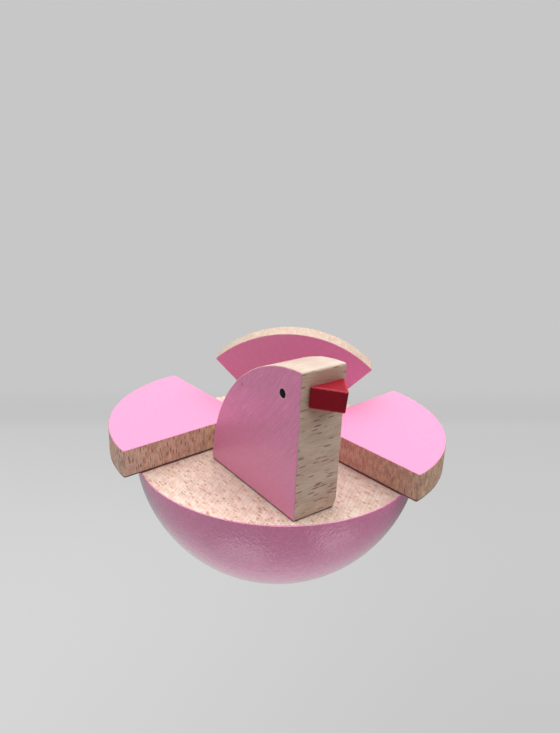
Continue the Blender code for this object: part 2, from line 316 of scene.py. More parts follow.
def painted_beech(
    name, wood, gloss, relief, coat, coat_gloss=0.14, marks=None, show=0.0, extra=None, foot=None
):
    """Wood with paint where the paint attribute is above nought. The edge of the paint is ragged by the
    fibres, and thins out over the last tenth of a millimetre. marks is a pattern of fine ridges in the
    paint, which lightens it by show as a painted glint along the ridges, and extra changes the finished
    colour. foot is the height of the lowest edge, just above the deck, which is darkened for a few tenths
    of a millimetre as painted shade of the gap beneath it."""
    material, tree, shader = blank_material(name)
    colour, height, place = beech(tree, **wood)
    ragged = speckle(tree, place, (0.9, 0.25, 0.6), 2, 31)
    inside = reckon(tree, "ADD", paint_depth(tree), reckon(tree, "MULTIPLY_ADD", ragged, 0.5, -0.25))
    cover = ramp(tree, inside, -0.03, 0.05)
    thin = ramp(tree, inside, 0.04, 0.16, 0.15, 0.0)
    mottle = speckle(tree, place, (1.6, 0.8, 0.8), 4, 17)
    dull, bright = ([c * (1 + spread) for c in PINK] for spread in (-PINK_SPREAD, PINK_SPREAD))
    coat_colour = tint(tree, ramp(tree, mottle, 0.3, 0.7), dull, bright)
    coat_colour = tint(tree, thin, coat_colour, THIN_PINK)
    ridges = marks(tree) if marks else None
    # Painted glint: the paint is lightened along the ridges.
    if marks:
        coat_colour = shaded(tree, coat_colour, ridges, show)
    colour = tint(tree, cover, colour, coat_colour)
    if extra:
        colour = extra(tree, colour)
    # Painted shade: the lowest edge, just above the deck, is darkened because the gap beneath it lies in
    # shade.
    if foot is not None:
        height_up = add(tree, "SeparateXYZ", {0: spot(tree)}).outputs[2]
        gap_shade_share = ramp(tree, height_up, foot + 0.2 * MM, foot + 0.6 * MM, 0.97, 0.0)
        colour = tint(tree, gap_shade_share, colour, GAP_SHADE)
    tree.links.new(colour, shader.inputs["Base Color"])
    tree.links.new(ramp(tree, cover, 0, 1, 0.62, gloss), shader.inputs["Roughness"])
    tree.links.new(reckon(tree, "MULTIPLY", cover, coat), shader.inputs["Coat Weight"])
    shader.inputs["Coat Roughness"].default_value = coat_gloss
    shader.inputs["Coat IOR"].default_value = 1.6
    wood_part = reckon(tree, "MULTIPLY", height, ramp(tree, cover, 0, 1, 1.0, 0.25))
    rise = reckon(tree, "MULTIPLY_ADD", cover, 0.8, wood_part)
    if marks:
        raised = reckon(tree, "MULTIPLY", ridges, reckon(tree, "MULTIPLY", cover, 1.6))
        rise = reckon(tree, "ADD", rise, raised)
    normal = bumped(tree, rise, relief)
    tree.links.new(normal, shader.inputs["Normal"])
    tree.links.new(normal, shader.inputs["Coat Normal"])
    return material


def fibre_ridges(tree):
    """Fine ridges of the wood's fibres, which show through the paint and run up the ball to the back."""
    along = frame_of(tree, BALL_GRAIN)
    fine = speckle(tree, along, (9, 0.6, 0.6), 1, 50)
    broad = speckle(tree, along, (11, 1.3, 1.3), 1, 60)
    return reckon(tree, "MULTIPLY_ADD", broad, 0.4, reckon(tree, "MULTIPLY", fine, 0.6))


def deck_saw_marks_and_painted_light(tree, colour):
    """Fine marks of the saw and of the sanding belt, which cross the deck both ways, on the bare wood alone,
    and painted light and shade: the deck is paler at the front rim and darker on the bird's left, as the
    light falls on it. Each set of marks is a sine of the place across them over their spacing, made uneven by
    noise."""
    worked = colour
    for direction, spacing, strength, shift in SAW_MARKS:
        across = Vector(direction)
        along = frame_of(tree, (Vector((0, 0, 1)).cross(across), across, (0, 0, 1)))
        uneven = speckle(tree, along, (9, 0.9, 9), 1, shift)
        inputs = {0: along, 1: (0, 2 * math.pi / spacing, 0)}
        phase = add(tree, "VectorMath", inputs, operation="DOT_PRODUCT").outputs["Value"]
        lines = reckon(tree, "SINE", reckon(tree, "MULTIPLY_ADD", uneven, 9.0, phase))
        worked = shaded(tree, worked, reckon(tree, "MULTIPLY_ADD", lines, 0.5, 0.5), strength)
    # Painted light and shade: the bare deck is made paler towards the front rim and darker towards the bird's
    # left.
    sideways, back, _ = add(tree, "SeparateXYZ", {0: spot(tree)}).outputs
    pale = ramp(tree, back, -0.044, -0.029, 1.4, 0.5)
    pale = reckon(tree, "ADD", pale, ramp(tree, sideways, -0.005, 0.02, 0.2, -0.45))
    worked = shaded(tree, worked, pale, 0.3)
    bare = ramp(tree, paint_depth(tree), -0.1, 0.0, 1.0, 0.0)
    return tint(tree, bare, colour, worked)


rings, ball_paint, DECK = ball_rings()
ball = surface("half_ball", rings, (0, 0, 0), (0, 0, DECK), ball_paint)
for dowel in ("head_dowel", "left_wing_dowel", "right_wing_dowel", "tail_dowel"):
    drill_for_dowel(ball, dowel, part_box(dowel)[0].z - BORE_ROOM, DECK + BORE_PAST_DECK)
DECK_WOOD = dict(
    grain=BALL_GRAIN, shift=0.0, pale=(0.64, 0.50, 0.42), warm=(0.57, 0.39, 0.32),
    fleck=(0.50, 0.285, 0.20), fleck_reach=0.225, fleck_size=(2.0, 0.9, 3.6), streak=0.3,
    fibre=(2.5, 0.38, 1.2), cloud=(3.5, 1.4, 3), pores=0.4,
)
BALL_PAINT = painted_beech(
    "pink_ball", DECK_WOOD, gloss=0.18, relief=0.17 * MM, coat=1.0, coat_gloss=0.04,
    marks=fibre_ridges, show=0.38, extra=deck_saw_marks_and_painted_light,
)
ball.data.materials.append(BALL_PAINT)
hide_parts("body")
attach(ball, "base")


# Head
# A quarter of a thick disc stood on edge, with an upright face to the front and its arc from the brow down
# to the nape. Both cheeks are painted, while the sawn front and the arc edge are bare. A dowel holds it.
SEAT_GAP = 0.3 * MM
HEAD_RADIUS = 41.7 * MM
HEAD_SAW_LOSS = 0.3 * MM
HEAD_THICKNESS = 14.5 * MM
HEAD_TURN = 42.5
HEAD_CORNER_ROUND = 0.5 * MM
WORN_CORNER = 1.35 * MM
WORN_REACH = 1.4 * MM
TIP_ROUND = 0.6 * MM
POINT_SPACING = 0.7 * MM
SIDE_SPACING = 0.6 * MM
ROUNDING_STEPS = 7
RIM_INSIDE = 0.08 * MM
FACE_SHARES = (0.12, 0.3, 0.5, 0.7, 0.85)
FACE_PAINT = 3.0


def arc_points(centre, radius, start, end):
    """Points and outward directions along an arc, one for each POINT_SPACING and at least six."""
    count = max(6, int(radius * abs(end - start) / POINT_SPACING))
    turn = np.linspace(start, end, count)
    outward = np.stack([np.cos(turn), np.sin(turn)], axis=-1)
    return np.asarray(centre) + radius * outward, outward


def straight_points(start, end, outward):
    """Points strictly between start and end, all with the same outward direction."""
    count = max(2, int(np.linalg.norm(end - start) / POINT_SPACING))
    share = np.linspace(0, 1, count + 1)[1:-1, None]
    points = start + (end - start) * share
    return points, np.broadcast_to(outward, points.shape)


def quarter_outline(radius, saw_loss, corner, foot=0.0):
    """Outline of a quarter disc, counterclockwise, its sawn edges along +X and +Y from the origin. The saw
    takes saw_loss off each edge, so the arc's centre lies that far outside both. Each tip is an arc that
    touches edge and disc, and the corner is an arc, or with a foot a straight cut between two arcs.
    Returns points, outward directions, and for each point how near a sawn edge it is, 1 on it and 0 on the
    arc."""
    along = math.sqrt((radius - TIP_ROUND) ** 2 - (TIP_ROUND + saw_loss) ** 2) - saw_loss
    tip = math.atan2(TIP_ROUND + saw_loss, along + saw_loss)
    right = math.pi / 2
    if foot:
        far = foot + corner * math.tan(math.pi / 8)
        bends = [
            ((corner, far), corner, 2 * right, 2.5 * right),
            ((far, corner), corner, 2.5 * right, 3 * right),
        ]
    else:
        bends = [((corner, corner), corner, 2 * right, 3 * right)]
    bends += [((along, TIP_ROUND), TIP_ROUND, 3 * right, 4 * right + tip)]
    bends += [((-saw_loss, -saw_loss), radius, tip, right - tip)]
    bends += [((TIP_ROUND, along), TIP_ROUND, right - tip, 2 * right)]
    points, outward, sawn = [], [], []
    last = arc_points(*bends[-1])
    for number, bend in enumerate(bends):
        run = arc_points(*bend)
        gap = np.linalg.norm(run[0][0] - last[0][-1])
        if gap > POINT_SPACING:
            line = straight_points(last[0][-1], run[0][0], run[1][0])
            points += [line[0]]
            outward += [line[1]]
            sawn += [np.ones(len(line[0]))]
            fresh = run
        else:
            fresh = (run[0][1:], run[1][1:]) if gap < 1e-7 else run
        points += [fresh[0]]
        outward += [fresh[1]]
        if bend[1] == radius:
            level = np.zeros(len(fresh[0]))
        elif number in (len(bends) - 3, len(bends) - 1):
            level = np.linspace(1, 0, len(fresh[0]))
            level = level[::-1] if number == len(bends) - 1 else level
        else:
            level = np.ones(len(fresh[0]))
        sawn += [level]
        last = run
    return np.concatenate(points), np.concatenate(outward), np.concatenate(sawn)


def waves(where, length, seed):
    """A smooth waver between about -1 and 1: three sines of where, of unequal lengths and seeded phases."""
    phase = np.random.default_rng(seed).uniform(0, 2 * np.pi, 3)
    lengths = np.array([1.0, 0.61, 0.37]) * length
    sines = [np.sin(2 * np.pi * where / long + start) for long, start in zip(lengths, phase)]
    return (sines[0] + sines[1] / 2 + sines[2] / 3) / 1.8


def block(name, outline, thickness, low_round, high_round, paint_edge, place, seed, rough=0.03):
    """A sawn block: its outline carried from one flat face over a rounded edge, across the thickness, over
    the other rounded edge and back to the middle of the far face. On a rounding of radius r at angle a, a
    ring is drawn in by r (1 - sin a) and lies r (1 - cos a) inside the face, and stays that far from both
    sawn edges at the corner, where points that meet become one. place turns it into position.
    paint_edge is how far the paint laps over each rounding, in millimetres, for each point of the outline."""
    points, outward, sawn = outline
    middle = points.mean(axis=0)
    travelled = np.concatenate([[0.0], np.cumsum(np.linalg.norm(np.diff(points, axis=0), axis=1))]) / MM
    bend = np.linspace(0, np.pi / 2, ROUNDING_STEPS)[:, None]
    half = thickness / 2
    face_share = np.array(FACE_SHARES)[:, None, None]
    inset_low = low_round * (1 - np.sin(bend))
    inset_high = high_round * (1 - np.sin(bend[::-1]))
    lift_low = -half + low_round * (1 - np.cos(bend))
    lift_high = half - high_round * (1 - np.cos(bend[::-1]))
    levels = np.linspace(0, 1, max(6, int(thickness / SIDE_SPACING)))[1:-1, None]
    side_lift = lift_low[-1] + (lift_high[0] - lift_low[-1]) * levels
    inset = np.concatenate([inset_low, np.zeros_like(side_lift), inset_high])
    lift = np.concatenate([lift_low, side_lift, lift_high])
    around = waves(travelled + 3 * lift / MM, 5.0, seed)
    upward = waves(lift / MM * 2.0 + travelled * 0.3, 3.1, seed + 1)
    unevenness = rough * MM * (around + 0.7 * upward)
    fade = np.clip(1 - inset / (0.3 * MM), 0, 1)
    drawn_in = (inset - unevenness * fade)[..., None]
    drawn = np.maximum(points[None] - outward[None] * drawn_in, drawn_in)
    reaches = [(edge + RIM_INSIDE)[:, None] for edge in (low_round, high_round)]
    rim_low, rim_high = (np.maximum(points - outward * reach, reach) for reach in reaches)
    low_face = middle + (rim_low - middle)[None] * face_share
    high_face = middle + (rim_high - middle)[None] * face_share[::-1]
    flat = np.concatenate([low_face, rim_low[None], drawn, rim_high[None], high_face])
    low_height = np.full((len(face_share) + 1, len(points)), -half)
    heights = np.concatenate([low_height, lift, -low_height])
    rings = np.concatenate([flat, heights[..., None]], axis=-1)
    reach_low = paint_edge - low_round / MM * bend
    reach_high = paint_edge - high_round / MM * bend[::-1]
    down = paint_edge - low_round / MM * bend[-1] - (side_lift - lift_low[-1]) / MM
    from_top = paint_edge - high_round / MM * bend[-1] - (lift_high[0] - side_lift) / MM
    side = np.maximum(np.maximum(down, from_top), BARE)
    face = np.full((len(face_share), len(points)), FACE_PAINT)
    rim = (paint_edge + RIM_INSIDE / MM)[None]
    paint = np.concatenate([face, rim, reach_low, side, reach_high, rim, face])
    start, end = (placed([*middle, height], place) for height in (-half, half))
    return surface(name, placed(rings, place), start, end, paint)


head_length = HEAD_RADIUS - HEAD_SAW_LOSS
head_place = (
    Matrix.Translation(pivots["head"])
    @ Matrix.Rotation(math.radians(HEAD_TURN), 4, "Z")
    @ Matrix(((0, 0, 1, 0), (1, 0, 0, -head_length / 2), (0, 1, 0, SEAT_GAP), (0, 0, 0, 1)))
)
head_outline = quarter_outline(HEAD_RADIUS, HEAD_SAW_LOSS, HEAD_CORNER_ROUND)
from_corner = np.linalg.norm(head_outline[0], axis=1)
underside = np.clip(-head_outline[1][:, 1], 0, 1) ** 4
right_round = (0.3 - 0.15 * underside) * MM
worn = WORN_CORNER * np.exp(-((from_corner / WORN_REACH) ** 2))
left_round = (0.4 - 0.25 * underside) * MM + worn
head_lap = 0.2 + 0.1 * head_outline[2] * (1 - underside)
head_rough = 0.05 * (1 - underside)
head = block(
    "head_quarter", head_outline, HEAD_THICKNESS, right_round, left_round, head_lap, head_place, 5, head_rough
)
drill_for_dowel(head, "head_dowel", DECK - BORE_PAST_DECK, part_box("head_dowel")[1].z + BORE_ROOM)
head_axes = head_place.to_3x3()
across, back, up = (tuple(head_axes @ Matrix.Identity(3)[i]) for i in (2, 0, 1))
HEAD_WOOD = dict(
    grain=(across, up, back), shift=4.0, pale=(0.61, 0.46, 0.36), warm=(0.55, 0.38, 0.29),
    fleck=(0.32, 0.165, 0.125), fleck_reach=0.26, fleck_size=(4.8, 0.75, 2.3), streak=0.6,
    fibre=(5, 0.4, 2.5), cloud=(8, 2.5, 5), pores=0.25, top=0.2,
)
EYE_BEHIND_FRONT = 7.2 * MM
EYE_BELOW_TOP = 7.8 * MM
EYE_RADIUS = 1.25 * MM
EYE_RING = (0.85, 0.50, 0.55)
CHIP = (-8.2 * MM, -23.4 * MM, 71.6 * MM)
CHIP_RADIUS = 0.7 * MM
CHIP_BROWN = (0.62, 0.16, 0.07)
# Where the painted shade round the beak lies, and its warm dark colour.
BEAK_SHADE_BELOW_TOP = 6.9 * MM
BEAK_SHADE_OFF_CENTRE = 0.8 * MM
BEAK_SHADE = (0.47, 0.25, 0.20)
# A painted sheen on the bare faces of the head that look up.
CROWN_SHEEN = (0.53, 0.455, 0.40)
CHEEK_MIDDLE = (24 * MM, 26 * MM, 0)
CHEEK_BEND = 4.0
ACROSS_MARKS = (0.73, 0.68, 0)
ALONG_MARKS = (-0.68, 0.73, 0)


def cheek_lines(tree):
    """Fine sanding marks and a few pale scratches that slope forward and up across the cheeks. They bend like
    a parabola: across them, the place moves by its squared distance from the cheek's middle along them."""
    back_up, front_up = ((head_axes @ Vector(way)).normalized() for way in (ACROSS_MARKS, ALONG_MARKS))
    middle = front_up.dot(head_place @ Vector(CHEEK_MIDDLE))
    cheek = frame_of(tree, (front_up, back_up, head_axes @ Vector((0, 0, 1))))
    length, width, depth = add(tree, "SeparateXYZ", {0: cheek}).outputs
    beyond = reckon(tree, "SUBTRACT", length, middle)
    width = reckon(tree, "MULTIPLY_ADD", reckon(tree, "MULTIPLY", beyond, beyond), -CHEEK_BEND, width)
    bent = add(tree, "CombineXYZ", {0: length, 1: width, 2: depth}).outputs[0]
    fine = speckle(tree, bent, (7, 0.38, 4), 1, 12)
    scratches = ramp(tree, speckle(tree, bent, (4.5, 0.5, 4), 1, 19), 0.60, 0.70)
    lines = reckon(tree, "MULTIPLY_ADD", fine, 0.7, reckon(tree, "MULTIPLY_ADD", scratches, 0.3, -0.375))
    height = add(tree, "SeparateXYZ", {0: spot(tree)}).outputs[2]
    # The marks are stronger towards the top of the cheek, and where they lighten the paint this is a painted
    # glint.
    return reckon(tree, "MULTIPLY_ADD", lines, ramp(tree, height, 0.052, 0.066, 0.3, 1.0), 0.5)


def off_axis(tree, point, axis):
    """Distance of the surface from the line through point along axis: the length of a cross product."""
    beside = add(tree, "VectorMath", {0: spot(tree), 1: list(point)}, operation="SUBTRACT").outputs[0]
    crossed = add(tree, "VectorMath", {0: beside, 1: list(axis)}, operation="CROSS_PRODUCT").outputs[0]
    return add(tree, "VectorMath", {0: crossed}, operation="LENGTH").outputs["Value"]


def head_marks_shade_and_sheen(tree, colour):
    """The thin pale ring where each eye hole broke the paint, a small chip, a warm darker tint on the bare
    wood round the beak, which is painted shade of the beak with the red light it throws back, and a greyer
    tint on bare faces that look up, which is a painted sheen of the light from above."""
    outwards = head_axes @ Vector((0, 0, 1))
    eye_line = head_place @ Vector((EYE_BEHIND_FRONT, head_length - EYE_BELOW_TOP, 0))
    from_eye = off_axis(tree, eye_line, outwards)
    ring = ramp(tree, from_eye, EYE_RADIUS + 0.15 * MM, EYE_RADIUS + 0.35 * MM, 0.55, 0.0)
    colour = tint(tree, ring, colour, EYE_RING)
    ragged = speckle(tree, spot(tree), (0.5, 0.5, 0.5), 2, 7)
    from_chip = add(tree, "VectorMath", {0: spot(tree), 1: CHIP}, operation="DISTANCE").outputs["Value"]
    reach = reckon(tree, "MULTIPLY_ADD", ragged, 0.6 * MM, from_chip)
    chip = ramp(tree, reach, CHIP_RADIUS, CHIP_RADIUS + 0.15 * MM, 1.0, 0.0)
    colour = tint(tree, chip, colour, CHIP_BROWN)
    # Painted shade: the bare wood round the beak is darkened and warmed, as the beak shades it and throws red
    # light back.
    beak_line = head_place @ Vector((0, head_length - BEAK_SHADE_BELOW_TOP, BEAK_SHADE_OFF_CENTRE))
    from_beak = off_axis(tree, beak_line, head_axes @ Vector((1, 0, 0)))
    near = ramp(tree, from_beak, 4.5 * MM, 8.5 * MM, 0.7, 0.0)
    bare = ramp(tree, paint_depth(tree), -0.3, -0.1, 1.0, 0.0)
    colour = tint(tree, reckon(tree, "MULTIPLY", near, bare), colour, BEAK_SHADE)
    # Painted sheen: bare faces that look up are tinted greyer and less saturated.
    return tint(tree, reckon(tree, "MULTIPLY", facing_up(tree, 0.0, 0.45), bare), colour, CROWN_SHEEN)


HEAD_PAINT = painted_beech(
    "pink_head", HEAD_WOOD, gloss=0.38, relief=0.04 * MM, coat=0.5,
    marks=cheek_lines, show=0.45, extra=head_marks_shade_and_sheen, foot=DECK + SEAT_GAP - 0.15 * MM,
)
head.data.materials.append(HEAD_PAINT)
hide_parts("head_block")
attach(head, "head")


# Beak
# A three-sided prism of beech, dipped in red and glued to the front of the head on a short peg. Its tip is
# sanded back a little underneath.
BEAK_WIDTH = 11.4 * MM
BEAK_LENGTH = 8 * MM
BEAK_HEIGHT = 5.8 * MM
BEAK_UNDERCUT = 0.7 * MM
BEAK_BELOW_TOP = 3.8 * MM
BEAK_OFF_CENTRE = 0.8 * MM
BEAK_CORNER_ROUND = 0.25 * MM
BEAK_TIP_ROUND = 0.4 * MM
BEAK_EDGE_ROUND = 0.25 * MM
BEAK_LEVELS = 12
BEAK_RED = (0.268, 0.007, 0.017)
BEAK_SPREAD = 0.07
WORN_RED = (0.52, 0.06, 0.08)


def beak_rings():
    """The prism's triangle with arcs at its three corners, carried up through the height with a rounded edge
    below and above. The tip is drawn back in proportion to how far a point lies below the top."""
    corner, tip, edge = BEAK_CORNER_ROUND, BEAK_TIP_ROUND, BEAK_EDGE_ROUND
    tip_half = math.atan2(BEAK_WIDTH / 2, BEAK_LENGTH)
    lean = math.pi / 2 - tip_half
    back_in = corner / math.tan(lean / 2)
    bends = [
        ((0, -BEAK_LENGTH + tip / math.sin(tip_half)), tip, 1.5 * math.pi - lean, 1.5 * math.pi + lean),
        ((BEAK_WIDTH / 2 - back_in, -corner), corner, -tip_half, math.pi / 2),
        ((-BEAK_WIDTH / 2 + back_in, -corner), corner, math.pi / 2, math.pi + tip_half),
    ]
    points, outward = [], []
    last = arc_points(*bends[-1])
    for bend in bends:
        run = arc_points(*bend)
        line = straight_points(last[0][-1], run[0][0], run[1][0])
        points += [line[0], run[0]]
        outward += [line[1], run[1]]
        last = run
    points, outward = np.concatenate(points), np.concatenate(outward)
    bend = np.linspace(0, np.pi / 2, 6)
    levels = np.linspace(0, 1, BEAK_LEVELS)[1:-1]
    drawn_in, risen = edge * (1 - np.sin(bend)), edge * (1 - np.cos(bend))
    inset = np.concatenate([drawn_in, np.zeros(len(levels)), drawn_in[::-1]])
    lift = np.concatenate([risen, edge + (BEAK_HEIGHT - 2 * edge) * levels, BEAK_HEIGHT - risen[::-1]])
    drawn = points[None] - outward[None] * inset[:, None, None]
    middle = np.array([0, -BEAK_LENGTH / 3])
    share = np.array([0.3, 0.6, 0.9])[:, None, None]
    bottom = middle + (drawn[0] - middle)[None] * share
    top = middle + (drawn[-1] - middle)[None] * share[::-1]
    flat = np.concatenate([bottom, drawn, top])
    height = np.concatenate([np.zeros(len(share)), lift, np.full(len(share), BEAK_HEIGHT)])
    below = (1 - height / BEAK_HEIGHT)[:, None]
    flat[..., 1] += BEAK_UNDERCUT * below * np.clip(-flat[..., 1] / BEAK_LENGTH, 0, 1)
    rings = np.concatenate([flat, np.broadcast_to(height[:, None, None], (*flat.shape[:2], 1))], axis=-1)
    side = np.minimum(levels, 1 - levels) * BEAK_HEIGHT / MM
    on_edge = np.zeros(len(bend))
    from_edge = np.concatenate([[2.0, 1.0, 0.2], on_edge, side, on_edge, [0.2, 1.0, 2.0]])
    return rings, middle, from_edge


rings, beak_middle, beak_wear = beak_rings()
beak_floor = SEAT_GAP + head_length - BEAK_BELOW_TOP - BEAK_HEIGHT
beak_place = (
    Matrix.Translation(pivots["head"])
    @ Matrix.Rotation(math.radians(HEAD_TURN), 4, "Z")
    @ Matrix.Translation((BEAK_OFF_CENTRE, -head_length / 2 - SEAT_GAP, beak_floor))
)
beak_ends = [placed([*beak_middle, height], beak_place) for height in (0, BEAK_HEIGHT)]
beak = surface("beak_prism", placed(rings, beak_place), *beak_ends, beak_wear)


def red_paint():
    """Red paint, matt and slightly mottled by the fibres, worn a little paler along the edges."""
    material, tree, shader = blank_material("red_beak")
    mottle = speckle(tree, spot(tree), (0.6, 0.6, 0.6), 3, 2)
    dull, bright = ([c * (1 + spread) for c in BEAK_RED] for spread in (-BEAK_SPREAD, BEAK_SPREAD))
    colour = tint(tree, ramp(tree, mottle, 0.3, 0.7), dull, bright)
    ragged = speckle(tree, spot(tree), (0.5, 0.5, 0.5), 2, 9)
    worn = ramp(tree, reckon(tree, "MULTIPLY_ADD", ragged, 0.6, paint_depth(tree)), 0.3, 0.5, 0.8, 0.0)
    colour = tint(tree, worn, colour, WORN_RED)
    tree.links.new(colour, shader.inputs["Base Color"])
    shader.inputs["Roughness"].default_value = 0.6
    shader.inputs["Specular IOR Level"].default_value = 0.1
    tree.links.new(bumped(tree, mottle, 0.06 * MM), shader.inputs["Normal"])
    return material


beak.data.materials.append(red_paint())
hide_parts("beak")
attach(beak, "head")


# Eyes
# Two short pegs of black-stained beech pressed into the cheeks. Each is flush, with a thin ring of bare,
# pale wood where the hole broke the paint.
EYE_DEPTH = 3.5 * MM
EYE_END_ROOM = 0.3 * MM
EYE_SHOULDER = 0.12 * MM
EYE_DOME = 0.1 * MM
EYE_DOME_SHARE = 0.95
EYE_HOLE_FIT = 0.05 * MM
EYE_AROUND = 40
STAIN_BLACK = ((0.004, 0.002, 0.003), (0.012, 0.008, 0.01))


def black_stain():
    """A dull black stain, uneven by the fibres."""
    material, tree, shader = blank_material("black_eye")
    fibres = speckle(tree, spot(tree), (0.25, 0.25, 0.25), 2, 2)
    tree.links.new(tint(tree, fibres, *STAIN_BLACK), shader.inputs["Base Color"])
    shader.inputs["Roughness"].default_value = 0.5
    shader.inputs["Specular IOR Level"].default_value = 0.1
    tree.links.new(bumped(tree, fibres, 0.03 * MM), shader.inputs["Normal"])
    return material


black = black_stain()
spin = np.linspace(0, 2 * np.pi, EYE_AROUND, endpoint=False)
dome = np.linspace(0, 1, 7)[1:] * np.pi / 2
depth = np.concatenate([[EYE_END_ROOM - EYE_DEPTH, -EYE_SHOULDER], -EYE_DOME * (1 - np.sin(dome))])
radii = np.concatenate([[EYE_RADIUS, EYE_RADIUS], EYE_RADIUS * np.cos(dome * EYE_DOME_SHARE)])
cheek = HEAD_THICKNESS / 2
out = cheek + depth
y, z = EYE_BEHIND_FRONT, head_length - EYE_BELOW_TOP
for name, side in (("left_eye", 1), ("right_eye", -1)):
    ring = np.stack(
        [
            y + side * radii[:, None] * np.cos(spin),
            z + radii[:, None] * np.sin(spin),
            np.broadcast_to(side * out[:, None], (len(out), len(spin))),
        ],
        axis=-1,
    )
    start, end = (placed([y, z, side * o], head_place) for o in (out[0], out[-1]))
    eye = surface(name + "_dot", placed(ring, head_place), start, end, np.full(len(out), FACE_PAINT))
    eye.data.materials.append(black)
    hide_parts(name)
    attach(eye, "head")
    mouth, bottom = (placed([y, z, side * (cheek + o)], head_place) for o in (EYE_END_ROOM, -EYE_DEPTH))
    drill(head, mouth, bottom, EYE_RADIUS + EYE_HOLE_FIT)


# Wings
# Two quarter discs lying flat, sawn from a painted disc, so that both faces are pink while the two sawn
# edges and the arc are bare. Each turns on a glued dowel near its corner.
WING_RADIUS = 44.7 * MM
WING_SAW_LOSS = 1.3 * MM
WING_THICKNESS = 8.6 * MM
WING_CORNER_TO_DOWEL = 13.2 * MM
WING_CORNER_ROUND = 1.3 * MM
WING_TURNS = {"left": 3.2, "right": 181.8}
WING_TONES = {
    "left": dict(
        pale=(0.565, 0.38, 0.26), warm=(0.465, 0.26, 0.18), fleck=(0.22, 0.085, 0.065),
        fleck_reach=0.2, streak=1.2,
    ),
    "right": dict(
        pale=(0.67, 0.455, 0.35), warm=(0.565, 0.33, 0.245), fleck=(0.29, 0.11, 0.085),
        fleck_reach=0.265, streak=1.0,
    ),
}

for number, (side, wing_turn) in enumerate(WING_TURNS.items()):
    body = side + "_wing"
    place = (
        Matrix.Translation(pivots[body])
        @ Matrix.Rotation(math.radians(wing_turn), 4, "Z")
        @ Matrix.Translation((-WING_CORNER_TO_DOWEL, 0, SEAT_GAP + WING_THICKNESS / 2))
        @ Matrix.Rotation(math.radians(-45), 4, "Z")
    )
    outline = quarter_outline(WING_RADIUS, WING_SAW_LOSS, WING_CORNER_ROUND)
    low_round = (0.14 * outline[2] + 0.22 * (1 - outline[2])) * MM
    high_round = (0.14 * outline[2] + 0.30 * (1 - outline[2])) * MM
    wing_lap = 0.22 * outline[2] + 0.30 * (1 - outline[2])
    wing = block(
        body + "_quarter", outline, WING_THICKNESS, low_round, high_round, wing_lap, place, 20 + number
    )
    dowel = body + "_dowel"
    drill_for_dowel(wing, dowel, DECK - BORE_PAST_DECK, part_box(dowel)[1].z + BORE_ROOM)
    wing_axes = place.to_3x3()
    WING_WOOD = dict(
        grain=((0, 0, 1), tuple(wing_axes.col[0]), tuple(wing_axes.col[1])), shift=9.0 + number,
        fleck_size=(3.6, 0.62, 0.62), fibre=(3.5, 0.3, 0.3), cloud=(2.5, 1.4, 1.4), pores=0.6,
        **WING_TONES[side],
    )
    wing_paint = painted_beech(
        "pink_" + body, WING_WOOD, gloss=0.7, relief=0.03 * MM, coat=0.6, coat_gloss=0.7, foot=DECK + SEAT_GAP
    )
    wing.data.materials.append(wing_paint)
    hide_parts(body)
    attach(wing, body)


# Tail
# A quarter disc standing across the deck like an open fan, its corner cut off for a foot. Both faces are
# painted and the edges are bare. It is glued on a thin dowel.
TAIL_RADIUS = 39.5 * MM
TAIL_SAW_LOSS = 1.3 * MM
TAIL_THICKNESS = 8.9 * MM
TAIL_FOOT_WIDTH = 12.1 * MM
TAIL_CORNER_ROUND = 0.9 * MM
TAIL_LAP = 0.22

tail_place = (
    Matrix.Translation(pivots["tail"])
    @ Matrix.Translation((0, 0, SEAT_GAP - TAIL_FOOT_WIDTH / 2))
    @ Matrix.Rotation(math.radians(90), 4, "X")
    @ Matrix.Rotation(math.radians(45), 4, "Z")
)
tail_foot = TAIL_FOOT_WIDTH * math.sqrt(0.5)
tail_outline = quarter_outline(TAIL_RADIUS, TAIL_SAW_LOSS, TAIL_CORNER_ROUND, tail_foot)
tail_round = (0.15 * tail_outline[2] + 0.30 * (1 - tail_outline[2])) * MM
tail_lap = np.full(len(tail_outline[0]), TAIL_LAP)
tail = block("tail_quarter", tail_outline, TAIL_THICKNESS, tail_round, tail_round, tail_lap, tail_place, 40)
drill_for_dowel(tail, "tail_dowel", DECK - BORE_PAST_DECK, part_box("tail_dowel")[1].z + BORE_ROOM)
TAIL_WOOD = dict(
    grain=((0, 1, 0), (1, 0, 0), (0, 0, 1)), shift=14.0, pale=(0.56, 0.42, 0.328),
    warm=(0.505, 0.358, 0.276), fleck=(0.38, 0.245, 0.18), fleck_reach=0.18, fleck_size=(3, 0.8, 1.1),
    streak=0.5, cloud=(4, 2, 2), pores=0.4,
)
TAIL_PAINT = painted_beech(
    "pink_tail", TAIL_WOOD, gloss=0.42, relief=0.03 * MM, coat=0.3, foot=DECK + SEAT_GAP
)
tail.data.materials.append(TAIL_PAINT)
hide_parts("tail")
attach(tail, "tail")


# Dowels and beak peg
# Lengths of beech rod, glued into the blocks and turning in the deck's bores. Their ends are chamfered.
def bare_rod():
    """Bare beech, its fibres along the upright axis."""
    material, tree, shader = blank_material("bare_rod")
    colour, height, _ = beech(
        tree, grain=((0, 0, 1), (1, 0, 0), (0, 1, 0)), shift=22.0, pale=(0.64, 0.47, 0.36),
        warm=(0.56, 0.38, 0.29), fleck=(0.38, 0.22, 0.15), fleck_reach=0.2, fleck_size=(3.2, 0.7, 3),
        streak=0.5,
    )
    tree.links.new(colour, shader.inputs["Base Color"])
    shader.inputs["Roughness"].default_value = 0.6
    tree.links.new(bumped(tree, height, 0.03 * MM), shader.inputs["Normal"])
    return material


rod = bare_rod()
for name in ("head_dowel", "left_wing_dowel", "right_wing_dowel", "tail_dowel", "beak_peg"):
    nodes[name].data.materials.clear()
    nodes[name].data.materials.append(rod)


